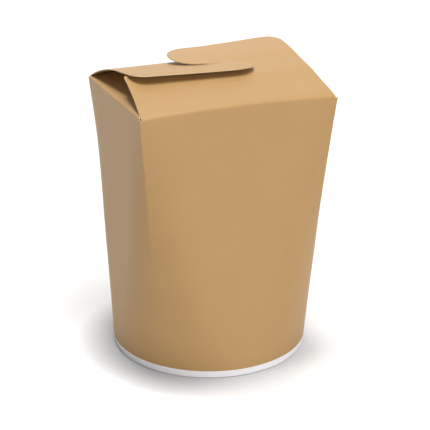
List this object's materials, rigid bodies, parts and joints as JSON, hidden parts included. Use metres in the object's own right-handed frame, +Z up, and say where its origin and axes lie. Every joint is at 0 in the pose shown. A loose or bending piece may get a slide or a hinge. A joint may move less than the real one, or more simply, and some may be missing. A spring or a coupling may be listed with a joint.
{
  "type": "noodle takeaway box",
  "caption": "Shut takeaway box of folded kraft board, square at the rim and round at the foot, with interlocked closing flaps on top and a white board base.",
  "frame": {"origin": "middle of the round base's foot, on the surface that the box stands on", "axes": "+Z up through the closed top; -Y is the front, the wall under the front closing flap; +X is to the right seen from the front"},
  "size_m": [0.086, 0.086, 0.1309],
  "materials": {
    "kraft_board": "kraft-brown printed board with a satin coat",
    "white_board": "matt white board"
  },
  "bodies": {
    "root": {"carton": "kraft_board", "base": "white_board"}
  },
  "joints": []
}
